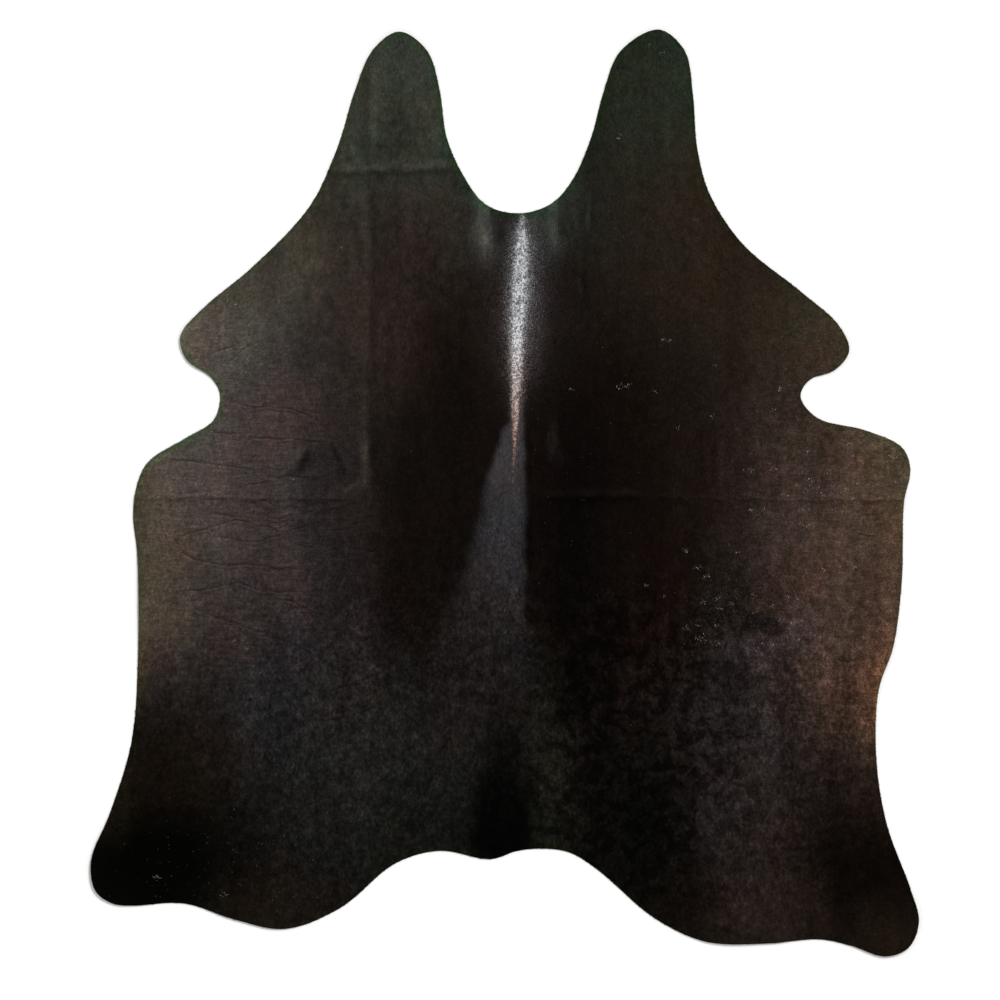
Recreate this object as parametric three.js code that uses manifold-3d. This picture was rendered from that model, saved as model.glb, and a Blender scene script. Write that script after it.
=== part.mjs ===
// A cowhide rug: one whole hide with its hair on, lying flat with the hair side up.
// Sizes are in millimetres. +Z is up and the neck points along +Y.
// The outline and the creases are laid out from a point on the middle of the back. The hide
// is moved at the end, so that the origin is on the floor under the middle of its box.

import * as THREE from 'three';
import { mergeVertices } from 'three/addons/utils/BufferGeometryUtils.js';
import Module from 'manifold-3d';

// Thickness of skin and flat-lying hair, along the back and out at the belly edges
const backThickness = 5;
const bellyThickness = 4;
const backHalfWidth = 420;

// Fineness of the cut edge and of the relief
const stepsPerOutlinePoint = 5;
const reliefPitch = 80;
const clearOfCrease = 0.4;

// The relief slab reaches past the outline by this much, and the outline's prism runs
// from below the floor to above the highest ridge
const slabMargin = 60;
const prismBottom = -10;
const prismTop = 40;

// The cut edge, clockwise from above: one smooth closed line runs through all the points
const edgeStretches = [
  { place: 'left neck flap', points: [[-355, 955], [-310, 1055], [-250, 1095], [-185, 1050], [-155, 955]] },
  { place: 'neck notch, left', points: [[-140, 850], [-105, 765], [-45, 685]] },
  { place: 'neck notch, right', points: [[35, 665], [110, 688], [163, 748], [205, 845]] },
  { place: 'right neck flap', points: [[235, 955], [275, 1050], [365, 1100], [425, 1050], [445, 945]] },
  { place: 'right shoulder', points: [[455, 820], [485, 710], [565, 590], [700, 480]] },
  { place: 'right fore shank', points: [[790, 400], [815, 340], [782, 295], [720, 270]] },
  { place: 'right armpit', points: [[700, 230], [740, 180], [855, 150]] },
  { place: 'right flank', points: [[940, 110], [960, 60], [945, -20], [940, -205], [920, -360]] },
  { place: 'right thigh', points: [[885, -465], [880, -635], [905, -785], [960, -935]] },
  { place: 'right hind shank', points: [[980, -1015], [955, -1075], [900, -1095], [820, -1070]] },
  { place: 'right hind edge', points: [[745, -1055], [615, -1065], [475, -1060], [355, -1005]] },
  { place: 'rump, right of the tail', points: [[220, -890], [155, -850], [100, -840]] },
  { place: 'rump, left of the tail', points: [[30, -845], [-35, -865], [-155, -845], [-260, -875]] },
  { place: 'left hind edge', points: [[-390, -980], [-520, -1030], [-640, -1008], [-760, -970]] },
  { place: 'left hind shank', points: [[-885, -975], [-930, -970], [-970, -940], [-980, -870]] },
  { place: 'left thigh', points: [[-935, -755], [-885, -590], [-870, -415]] },
  { place: 'left flank', points: [[-870, -155], [-880, -30], [-850, 70]] },
  { place: 'left armpit', points: [[-760, 130], [-690, 175], [-675, 235], [-695, 275]] },
  { place: 'left fore shank', points: [[-755, 320], [-768, 375], [-720, 435], [-590, 545]] },
  { place: 'left shoulder', points: [[-460, 685], [-395, 825]] },
];

// Creases from the time the hide lay folded. Each runs straight from its start to its end and
// fades out there. A ridge stands up along its line. A valley dips to the floor along its line,
// between two shoulders. Reach is how far the crease spreads to each side of the line. The
// shoulders stand at a share of the reach, and stations are the shares of it where the relief
// has its points.
const creaseFade = 90;
const shoulderAt = 0.35;
const stations = {
  ridge: [-1, -0.5, 0, 0.5, 1],
  valley: [-1, -0.7, -0.35, -0.175, 0, 0.175, 0.35, 0.7, 1],
};
const creases = [
  { name: 'left neck fold', form: 'ridge', from: [-480, 768], to: [-50, 768], reach: 28, rise: 3 },
  { name: 'left flap fold', form: 'ridge', from: [-325, 1060], to: [-325, 720], reach: 28, rise: 2.5 },
  { name: 'long left fold', form: 'valley', from: [-320, 780], to: [-320, -30], reach: 46, rise: 3 },
  { name: 'neck swell', form: 'ridge', from: [-68, 740], to: [-68, 520], reach: 32, rise: 3 },
  { name: 'right neck ripple', form: 'ridge', from: [190, 880], to: [190, 420], reach: 30, rise: 2.5 },
  { name: 'right flap fold', form: 'ridge', from: [386, 980], to: [386, 500], reach: 30, rise: 2 },
  { name: 'back fold', form: 'valley', from: [47, 180], to: [47, -380], reach: 40, rise: 2 },
  { name: 'short flank fold', form: 'ridge', from: [505, 200], to: [505, -40], reach: 28, rise: 2 },
  { name: 'cross fold, left', form: 'ridge', from: [-960, -10], to: [-320, -10], reach: 26, rise: 3 },
  { name: 'cross fold, right', form: 'ridge', from: [40, -10], to: [1040, -10], reach: 26, rise: 3 },
];

// Places where the hide is a little springy and stands off the floor as a low round swell
const swells = [
  { name: 'left neck flap tip', centre: [-250, 1090], reach: 190, rise: 6 },
  { name: 'right neck flap tip', centre: [360, 1095], reach: 200, rise: 5 },
  { name: 'left fore shank tip', centre: [-790, 350], reach: 170, rise: 6 },
  { name: 'right fore shank tip', centre: [840, 340], reach: 170, rise: 5 },
  { name: 'left flank edge', centre: [-900, -260], reach: 190, rise: 5 },
  { name: 'right flank edge', centre: [960, -420], reach: 200, rise: 5 },
  { name: 'left hind shank tip', centre: [-990, -900], reach: 200, rise: 7 },
  { name: 'right hind shank tip', centre: [970, -1060], reach: 210, rise: 7 },
  { name: 'right hind edge', centre: [560, -1080], reach: 190, rise: 5 },
  { name: 'left hind edge', centre: [-600, -1040], reach: 170, rise: 4 },
];

// 0 at the start, 1 at the end and beyond, smooth between
function easeIn(distance, length) {
  return THREE.MathUtils.smoothstep(distance, 0, length);
}

// The shape across a crease, as a share of its rise
function profileAt(crease, across) {
  const quarterTurn = Math.PI / 2;
  if (crease.form === 'ridge') return Math.cos(quarterTurn * across / crease.reach) ** 2;
  const shoulder = shoulderAt * crease.reach;
  if (across < shoulder) return Math.sin(quarterTurn * across / shoulder) ** 2;
  return Math.cos(quarterTurn * (across - shoulder) / (crease.reach - shoulder)) ** 2;
}

// How high one crease lifts the hide at a point
function creaseHeight(crease, x, y) {
  const [startX, startY] = crease.from;
  const [endX, endY] = crease.to;
  const length = Math.hypot(endX - startX, endY - startY);
  const alongX = (endX - startX) / length;
  const alongY = (endY - startY) / length;
  const along = (x - startX) * alongX + (y - startY) * alongY;
  const across = Math.abs((y - startY) * alongX - (x - startX) * alongY);
  if (across >= crease.reach || along <= 0 || along >= length) return 0;
  const fade = easeIn(along, creaseFade) * easeIn(length - along, creaseFade);
  return crease.rise * fade * profileAt(crease, across);
}

// How high one swell lifts the hide at a point
function swellHeight(swell, x, y) {
  const distance = Math.hypot(x - swell.centre[0], y - swell.centre[1]);
  if (distance >= swell.reach) return 0;
  return swell.rise * Math.cos(Math.PI * distance / (2 * swell.reach)) ** 2;
}

// The flesh side: on the floor, but for the creases and swells
function undersideAt(x, y) {
  let height = 0;
  for (const crease of creases) height += creaseHeight(crease, x, y);
  for (const swell of swells) height += swellHeight(swell, x, y);
  return height;
}

function thicknessAt(x) {
  return bellyThickness + (backThickness - bellyThickness) * Math.exp(-((x / backHalfWidth) ** 2));
}

// The cut edge as points in order
function edgePoints() {
  const corners = edgeStretches.flatMap((stretch) => stretch.points);
  const curve = new THREE.CatmullRomCurve3(
    corners.map(([x, y]) => new THREE.Vector3(x, y, 0)),
    true,
    'centripetal',
  );
  const points = curve.getPoints(corners.length * stepsPerOutlinePoint);
  points.pop();
  return points.map((point) => new THREE.Vector2(point.x, point.y));
}

// Grid lines along one axis: close ones across the creases, evenly spread ones between.
// Axis 0 is X and axis 1 is Y.
function gridLines(axis, lowest, highest) {
  const close = [];
  for (const crease of creases) {
    if (crease.from[axis] !== crease.to[axis]) continue;
    for (const station of stations[crease.form]) close.push(crease.from[axis] + station * crease.reach);
  }
  const count = Math.round((highest - lowest) / reliefPitch);
  const lines = new Set(close);
  for (let i = 0; i <= count; i += 1) {
    const place = lowest + (highest - lowest) * i / count;
    const atEnd = i === 0 || i === count;
    const clear = close.every((line) => Math.abs(line - place) > clearOfCrease * reliefPitch);
    if (atEnd || clear) lines.add(place);
  }
  return [...lines].sort((a, b) => a - b);
}

// A closed slab over the whole box of the hide, with the relief on both of its faces
function reliefSlab(box) {
  const xs = gridLines(0, box.min.x - slabMargin, box.max.x + slabMargin);
  const ys = gridLines(1, box.min.y - slabMargin, box.max.y + slabMargin);
  const positions = [];
  const triangles = [];
  for (const y of ys) {
    for (const x of xs) {
      const underside = undersideAt(x, y);
      positions.push(x, y, underside, x, y, underside + thicknessAt(x));
    }
  }
  const low = (i, j) => 2 * (j * xs.length + i);
  const high = (i, j) => low(i, j) + 1;
  const addSquare = (a, b, c, d) => triangles.push(a, b, c, a, c, d);
  const lastI = xs.length - 1;
  const lastJ = ys.length - 1;
  for (let j = 0; j < lastJ; j += 1) {
    for (let i = 0; i < lastI; i += 1) {
      addSquare(high(i, j), high(i + 1, j), high(i + 1, j + 1), high(i, j + 1));
      addSquare(low(i, j), low(i, j + 1), low(i + 1, j + 1), low(i + 1, j));
    }
    addSquare(low(0, j), high(0, j), high(0, j + 1), low(0, j + 1));
    addSquare(low(lastI, j), low(lastI, j + 1), high(lastI, j + 1), high(lastI, j));
  }
  for (let i = 0; i < lastI; i += 1) {
    addSquare(low(i, 0), low(i + 1, 0), high(i + 1, 0), high(i, 0));
    addSquare(low(i, lastJ), high(i, lastJ), high(i + 1, lastJ), low(i + 1, lastJ));
  }
  const geometry = new THREE.BufferGeometry();
  geometry.setAttribute('position', new THREE.Float32BufferAttribute(positions, 3));
  geometry.setIndex(triangles);
  return geometry;
}

// A straight-sided block with the hide's outline
function outlineBlock(points) {
  const geometry = new THREE.ExtrudeGeometry(new THREE.Shape(points), {
    depth: prismTop - prismBottom,
    bevelEnabled: false,
  });
  geometry.translate(0, 0, prismBottom);
  return geometry;
}

const wasm = await Module();
wasm.setup();

function toSolid(geometry) {
  geometry.deleteAttribute('normal');
  geometry.deleteAttribute('uv');
  const merged = mergeVertices(geometry);
  return new wasm.Manifold(new wasm.Mesh({
    numProp: 3,
    vertProperties: new Float32Array(merged.attributes.position.array),
    triVerts: new Uint32Array(merged.index.array),
  }));
}

function toGeometry(solid) {
  const mesh = solid.getMesh();
  const geometry = new THREE.BufferGeometry();
  geometry.setAttribute('position', new THREE.BufferAttribute(mesh.vertProperties, 3));
  geometry.setIndex(new THREE.BufferAttribute(mesh.triVerts, 1));
  geometry.computeVertexNormals();
  return geometry;
}

// The hide: the relief slab cut along the outline
function makeHide() {
  const points = edgePoints();
  const box = new THREE.Box2().setFromPoints(points);
  const solid = toSolid(reliefSlab(box)).intersect(toSolid(outlineBlock(points)));
  const middle = box.getCenter(new THREE.Vector2());
  const hide = new THREE.Mesh(
    toGeometry(solid),
    new THREE.MeshStandardMaterial({ color: 0x1d1715, roughness: 0.62, metalness: 0 }),
  );
  hide.name = 'hide';
  hide.position.set(-middle.x, -middle.y, 0);
  return hide;
}

const rug = new THREE.Group();
rug.add(makeHide());

export default rug;
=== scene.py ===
import math
import bpy
import numpy as np
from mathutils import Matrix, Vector, geometry
from mathutils.bvhtree import BVHTree
from mathutils.kdtree import KDTree


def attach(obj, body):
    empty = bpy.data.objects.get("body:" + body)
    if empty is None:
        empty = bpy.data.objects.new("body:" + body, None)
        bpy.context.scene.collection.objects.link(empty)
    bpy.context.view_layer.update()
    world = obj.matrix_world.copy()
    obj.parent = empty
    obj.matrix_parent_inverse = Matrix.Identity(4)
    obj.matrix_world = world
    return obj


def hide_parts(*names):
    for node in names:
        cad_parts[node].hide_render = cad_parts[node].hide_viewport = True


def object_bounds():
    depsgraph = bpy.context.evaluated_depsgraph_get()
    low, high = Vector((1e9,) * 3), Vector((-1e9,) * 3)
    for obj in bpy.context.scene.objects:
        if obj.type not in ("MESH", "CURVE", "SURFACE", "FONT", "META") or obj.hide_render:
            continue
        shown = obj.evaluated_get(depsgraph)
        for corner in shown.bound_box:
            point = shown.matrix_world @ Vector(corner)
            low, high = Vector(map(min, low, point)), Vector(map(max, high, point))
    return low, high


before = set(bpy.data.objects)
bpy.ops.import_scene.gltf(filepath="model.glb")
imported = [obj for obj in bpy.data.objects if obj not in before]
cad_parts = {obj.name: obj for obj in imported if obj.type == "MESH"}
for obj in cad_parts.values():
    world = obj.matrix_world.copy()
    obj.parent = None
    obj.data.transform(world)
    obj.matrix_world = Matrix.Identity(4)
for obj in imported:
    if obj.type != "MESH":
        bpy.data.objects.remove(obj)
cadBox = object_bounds()
print("frame loaded, box", [round(v, 3) for corner in cadBox for v in corner])

# Lengths are in metres. The neck points along +Y and the hair side is up.

# camera

cameraSetup = {
    "over": (-0.0113, -0.0167),  # the point of the floor that it looks straight down on
    "frameWidth": 2.37,  # how much of the floor the picture is wide
    "lens": 200.0,
    "sensor": 36.0,
}


def makeCamera(setup):
    data = bpy.data.cameras.new("camera")
    data.lens = setup["lens"]
    data.sensor_width = setup["sensor"]
    height = setup["frameWidth"] * setup["lens"] / setup["sensor"]
    data.clip_start, data.clip_end = 0.1, 4 * height
    camera = bpy.data.objects.new("camera", data)
    camera.location = (*setup["over"], height)
    bpy.context.scene.collection.objects.link(camera)
    bpy.context.scene.camera = camera


makeCamera(cameraSetup)
print("camera set")


# shader maths

class Wire:
    # a socket in a material's tree, so that shader maths reads as sums
    def __init__(self, tree, socket=None):
        self.tree, self.socket = tree, socket

    # any node: its kind, its own settings first, then the values or wires of its inputs
    def node(self, kind, settings=None, values=None, out=0):
        made = self.tree.nodes.new("ShaderNode" + kind)
        for name, value in (settings or {}).items():
            setattr(made, name, value)
        self.feed(made, values or {})
        return Wire(self.tree, made.outputs[out])

    def feed(self, node, values):
        for name, value in values.items():
            if isinstance(value, Wire):
                self.tree.links.new(value.socket, node.inputs[name])
            else:
                node.inputs[name].default_value = value

    def maths(self, operation, first, second=0.0):
        return self.node("Math", {"operation": operation}, {0: first, 1: second})

    def __add__(self, other):
        return self.maths("ADD", self, other)

    def __sub__(self, other):
        return self.maths("SUBTRACT", self, other)

    def __rsub__(self, other):
        return self.maths("SUBTRACT", other, self)

    def __mul__(self, other):
        return self.maths("MULTIPLY", self, other)

    __radd__ = __add__
    __rmul__ = __mul__

    # 0 below low, 1 above high, smooth between; high may be under low
    def rise(self, low, high, top=1.0):
        return self.node("MapRange", {"interpolation_type": "SMOOTHSTEP"},
                         {"Value": self, "From Min": low, "From Max": high, "To Max": top})

    # this colour, turned into the other one where the mask is 1
    def blend(self, other, mask):
        return self.node("Mix", {"data_type": "RGBA"}, {0: mask, 6: self, 7: other}, out=2)

    # one plain colour
    def plain(self, colour):
        made = self.node("RGB")
        made.socket.default_value = (*colour[:3], 1.0)
        return made

    def times(self, colour):
        return self.node("VectorMath", {"operation": "MULTIPLY"}, {0: self, 1: colour})

    # this colour made darker or lighter
    def shaded(self, amount):
        return self.node("VectorMath", {"operation": "SCALE"}, {0: self, "Scale": amount})


# a colour as a screen shows it, 0 to 255, as the shader's own numbers
def paint(red, green, blue):
    def straight(value):
        value /= 255
        return value / 12.92 if value <= 0.04045 else ((value + 0.055) / 1.055) ** 2.4
    return (straight(red), straight(green), straight(blue), 1.0)


def newMaterial(name):
    material = bpy.data.materials.new(name)
    material.use_nodes = True
    tree = material.node_tree
    surface = tree.nodes["Principled BSDF"]
    return material, surface, Wire(tree)


# the cow's own markings: soft patches, each with the colour that shows there

coatMarkings = {
    "ground": (20, 14, 11),
    # how far the edges of the patches wander, and the noise that moves them
    "wander": 0.08,
    "drift": {"Scale": 5.0, "Detail": 6.0, "Roughness": 0.62},
    "fade": (1.25, 0.1),  # a patch fades in from here to here, in half sizes from its middle
    # place, centre, half width, half height, turn in degrees, colour, strength
    "patches": [
        ("left neck", (-0.33, 0.62), 0.36, 0.62, -12, (53, 48, 40), 0.95),
        ("left neck flap", (-0.26, 0.96), 0.22, 0.30, 0, (57, 62, 53), 0.95),
        # painted shade in the hollow of the left flap
        ("left flap hollow", (-0.25, 0.875), 0.09, 0.10, 0, (46, 48, 40), 0.8),
        ("flap, inner side", (-0.13, 0.90), 0.07, 0.20, 0, (45, 53, 43), 0.7),
        ("neck notch, left", (-0.12, 0.70), 0.12, 0.20, 0, (46, 47, 40), 0.7),
        # painted sheen on the neck swell
        ("neck swell", (-0.05, 0.64), 0.07, 0.15, 0, (50, 53, 50), 0.8),
        ("left shoulder", (-0.62, 0.45), 0.34, 0.26, 35, (69, 65, 56), 0.95),
        ("left fore shank", (-0.73, 0.36), 0.20, 0.135, 0, (92, 90, 80), 0.85),
        ("left belly", (-0.78, 0.02), 0.40, 0.50, 0, (87, 77, 71), 1.0),
        ("left belly low", (-0.86, -0.27), 0.30, 0.32, 0, (72, 62, 50), 0.9),
        ("left armpit", (-0.77, 0.12), 0.15, 0.10, 0, (79, 77, 69), 0.7),
        ("left rim", (-0.890, -0.08), 0.085, 0.34, 0, (71, 66, 50), 0.8),
        ("left ribs", (-0.54, -0.08), 0.24, 0.58, 0, (60, 52, 51), 0.8),
        ("left ribs, inner side", (-0.41, -0.06), 0.10, 0.50, 0, (34, 29, 28), 0.7),
        ("left flank low", (-0.77, -0.50), 0.27, 0.16, 0, (34, 26, 19), 0.75),
        ("dimple shade", (-0.464, 0.080), 0.030, 0.040, 0, (27, 24, 22), 0.7),
        ("left thigh", (-0.55, -0.48), 0.34, 0.34, 0, (44, 40, 41), 0.85),
        ("left rump", (-0.33, -0.68), 0.50, 0.34, 0, (33, 32, 30), 0.95),
        ("left flank dark", (-0.71, -0.47), 0.12, 0.09, 0, (30, 23, 19), 0.5),
        ("left hind dark", (-0.85, -0.85), 0.40, 0.34, 0, (2, 3, 1), 1.0),
        ("left rim low", (-0.895, -0.43), 0.055, 0.13, 0, (68, 55, 36), 0.85),
        ("left hind rim", (-0.935, -0.67), 0.08, 0.17, -8, (29, 25, 15), 0.85),
        ("left hind red", (-0.79, -0.62), 0.20, 0.18, 0, (24, 18, 12), 0.75),
        ("left hind edge", (-0.51, -1.00), 0.22, 0.16, 0, (27, 22, 17), 0.9),
        ("warm left of the back", (-0.23, 0.47), 0.20, 0.34, 0, (40, 29, 26), 0.8),
        ("warm left of the long fold", (-0.40, 0.40), 0.10, 0.18, 0, (47, 38, 35), 0.6),
        ("dark beside the streak", (-0.12, 0.24), 0.10, 0.34, 0, (15, 10, 7), 0.85),
        ("dark left of the back", (-0.17, -0.06), 0.18, 0.46, 0, (18, 13, 10), 0.95),
        ("right neck flap", (0.38, 0.96), 0.26, 0.42, 0, (40, 46, 35), 0.95),
        ("right neck", (0.46, 0.60), 0.34, 0.36, 0, (43, 35, 27), 0.85),
        ("neck notch, right", (0.14, 0.68), 0.12, 0.16, 0, (38, 43, 37), 0.8),
        # painted sheen on the neck pleat
        ("neck pleat", (0.092, 0.65), 0.075, 0.13, 0, (53, 59, 54), 0.8),
        ("right of the streak", (0.14, 0.42), 0.12, 0.30, 0, (26, 21, 17), 0.7),
        ("veil left of the streak", (-0.008, 0.36), 0.035, 0.16, 0, (32, 21, 20), 0.6),
        ("veil right of the streak", (0.066, 0.42), 0.036, 0.17, 0, (46, 39, 40), 0.6),
        ("smudge beside the back", (0.112, 0.120), 0.013, 0.055, 0, (40, 41, 39), 0.7),
        ("right of the withers", (0.45, 0.05), 0.20, 0.36, 0, (39, 31, 22), 0.7),
        ("right shoulder", (0.68, 0.42), 0.28, 0.24, -35, (43, 35, 25), 0.8),
        ("right fore shank", (0.76, 0.36), 0.20, 0.18, 0, (55, 49, 37), 0.85),
        ("right armpit", (0.74, 0.16), 0.22, 0.20, 0, (50, 42, 33), 0.5),
        ("right belly", (0.86, -0.08), 0.32, 0.56, 0, (78, 62, 50), 1.0),
        ("right belly low", (0.86, -0.40), 0.26, 0.29, 0, (76, 57, 47), 0.95),
        ("right rim", (0.887, -0.445), 0.060, 0.16, -13, (103, 75, 57), 0.85),
        ("right edge corner", (0.94, 0.06), 0.11, 0.14, 0, (79, 70, 55), 0.8),
        ("right ribs", (0.62, -0.10), 0.22, 0.60, 0, (41, 32, 29), 0.6),
        ("right flank", (0.73, -0.14), 0.13, 0.34, 0, (71, 56, 49), 0.7),
        ("right back", (0.30, -0.10), 0.26, 0.60, 0, (17, 10, 7), 0.9),
        ("red right of the back", (0.35, -0.34), 0.14, 0.26, 0, (24, 13, 10), 0.8),
        ("flank haze low", (0.60, -0.355), 0.12, 0.05, -8, (62, 51, 51), 0.7),
        ("flank haze right", (0.69, -0.295), 0.07, 0.07, 0, (76, 62, 59), 0.7),
        # painted shade in a hollow of the flank
        ("flank hollow", (0.610, -0.285), 0.060, 0.034, -10, (14, 12, 9), 0.9),
        # painted shade in a small hollow of the flank
        ("small flank hollow", (0.50, -0.28), 0.03, 0.045, 0, (20, 17, 13), 0.6),
        ("beside the back", (0.16, -0.16), 0.15, 0.52, 0, (9, 6, 5), 1.0),
        ("dark above the tail", (0.165, -0.46), 0.07, 0.13, 0, (6, 6, 4), 0.7),
        ("right rump", (0.44, -0.60), 0.22, 0.32, 0, (29, 24, 21), 0.7),
        ("right thigh", (0.60, -0.66), 0.20, 0.36, 0, (46, 40, 39), 0.85),
        ("right thigh low", (0.59, -0.84), 0.13, 0.17, 0, (44, 36, 34), 0.7),
        ("right hind", (0.76, -0.78), 0.24, 0.24, 0, (33, 24, 20), 0.8),
        ("right hind shank", (0.84, -0.90), 0.21, 0.18, 0, (9, 6, 3), 0.9),
        ("right hind tip", (0.90, -1.06), 0.11, 0.10, 0, (33, 24, 16), 0.8),
        ("right hind edge", (0.62, -1.02), 0.16, 0.14, 0, (42, 33, 28), 0.8),
        ("left of the tail", (-0.20, -0.83), 0.28, 0.20, 0, (18, 21, 17), 0.7),
        ("right of the tail", (0.31, -0.80), 0.19, 0.28, 0, (6, 7, 5), 0.9),
        ("olive by the tail", (0.10, -0.64), 0.08, 0.34, 6, (27, 26, 20), 0.9),
        ("tail root", (-0.004, -0.80), 0.112, 0.17, 0, (0, 1, 0), 1.0),
        ("tail root, middle", (-0.004, -0.775), 0.098, 0.115, 0, (0, 1, 1), 1.0),
        ("above the tail", (0.0, -0.66), 0.062, 0.20, 0, (8, 7, 6), 0.8),
    ],
    # painted sheen along the back
    "shine": (64, 62, 64),  # the blue-grey sheen along the back
    "white": (208, 200, 202),  # hair mixed in beside the streak
    "tan": (160, 120, 102),
    "whiteTurn": (0.36, 0.60),  # the grain turns white from here to here
    # speckles of the hair: how many to the metre, stretch, how strong all over, and how much
    # stronger in each of the zones below
    "speckles": [
        (420.0, (1.0, 0.7, 1.0), 1.9, (0.5, 0.1, 1.2, -0.8)),
        (140.0, (1.0, 0.7, 1.0), 1.1, (1.6, 0.2, 0.3, 0.1)),
        (46.0, (1.0, 0.7, 1.0), 0.8, (1.1, 0.0, 0.7, 0.4)),
        (14.0, (1.0, 0.15, 1.0), 0.8, (0.4, 0.0, 0.5, 0.3)),
        (230.0, (0.14, 1.0, 1.0), 0.15, (0.0, 1.0, 0.9, 0.0)),
    ],
    # centre and half size of the rump, the left belly, the right belly and the neck's left side
    "zones": [
        ((0.06, -0.64), (1.15, 0.58)), ((-0.70, -0.05), (0.50, 0.60)),
        ((0.78, -0.15), (0.40, 0.60)), ((-0.30, 0.62), (0.36, 0.44)),
    ],
    "zoneFade": (1.1, 0.5),
    # dark blotches on the rump: how many to the metre, where the noise turns dark, how dark they
    # are on all of the rump, and how much darker in an oval right of the tail
    "blotches": {"size": 34.0, "turn": (0.44, 0.60), "rump": 0.3,
                 "centre": (0.31, -0.60), "reach": (0.30, 0.42), "dark": 0.7},
    # how many to the metre, and the two colours that the hair is tinged with in turn
    "casts": [
        (5.0, (1.07, 0.98, 0.96), (0.94, 1.00, 1.04)),
        (14.0, (1.025, 0.98, 1.015), (0.98, 1.015, 0.985)),
    ],
    "castTurn": (0.35, 0.65),  # the noise turns the one into the other from here to here
    "edge": (0.82, 1.42, 0.86),  # the hair's green tinge along the cut edge
    "gloss": 0.008,
    "rough": (0.58, 0.2),  # of the hair, and how much the grain adds or takes away
    "bump": {"Strength": 0.4, "Distance": 0.0006},
    # how pale the hair looks where one sees it from the side
    "bloom": 0.15,
    "bloomSpread": 0.3,
    "bloomTint": (0.75, 1.0, 0.9, 1.0),
    # the flesh side, buffed like suede, and the cut through the skin
    "suede": {"colour": (176, 154, 128), "fleck": (150, 126, 100), "size": 9.0, "turn": (0.4, 0.65),
              "nap": 700.0, "napShade": (0.85, 0.3), "rougher": 0.3},
}


# how far from the middle of an oval: 0 there, 1 on its edge. Only an oval that's turned takes a
# Mapping node: the renderer keeps the result of each for long, and with too many of them it has
# no room left and shows the material black.
def fromMiddle(wire, place, centre, reach, turn=0, name=""):
    if turn:
        placed = wire.node("Mapping", {"vector_type": "TEXTURE", "label": name}, {
            "Vector": place, "Location": (*centre, 0.0),
            "Rotation": (0, 0, math.radians(turn)), "Scale": (*reach, 1.0)})
    else:
        placed = wire.node("VectorMath", {"operation": "MULTIPLY_ADD", "label": name}, {
            0: place, 1: (1 / reach[0], 1 / reach[1], 1.0),
            2: (-centre[0] / reach[0], -centre[1] / reach[1], 0.0)})
    return wire.node("VectorMath", {"operation": "LENGTH"}, {0: placed}, out="Value")


def coatColour(wire, marks):
    place = wire.node("TexCoord", out="Object")
    drift = wire.node("TexNoise", None, {"Vector": place, **marks["drift"]}, out="Color")
    drift = wire.node("VectorMath", {"operation": "SUBTRACT"}, {0: drift, 1: (0.5, 0.5, 0.5)})
    drift = wire.node("VectorMath", {"operation": "SCALE"}, {0: drift, "Scale": 2 * marks["wander"]})
    moved = wire.node("VectorMath", {"operation": "ADD"}, {0: place, 1: drift})
    colour = wire.plain(paint(*marks["ground"]))
    for name, centre, halfWidth, halfHeight, turn, tone, strength in marks["patches"]:
        distance = fromMiddle(wire, moved, centre, (halfWidth, halfHeight), turn, name)
        colour = colour.blend(paint(*tone), distance.rise(*marks["fade"], strength))
    return place, moved, colour


def noise(wire, place, size, detail, stretch=(1.0, 1.0, 1.0)):
    if stretch != (1.0, 1.0, 1.0):
        place = wire.node("Mapping", None, {"Vector": place, "Scale": stretch})
    return wire.node("TexNoise", None, {"Vector": place, "Scale": size, "Detail": detail})


# 1 in the middle of an oval zone, 0 outside it
def zone(wire, place, centre, reach, fade):
    return fromMiddle(wire, place, centre, reach).rise(*fade)


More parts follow.
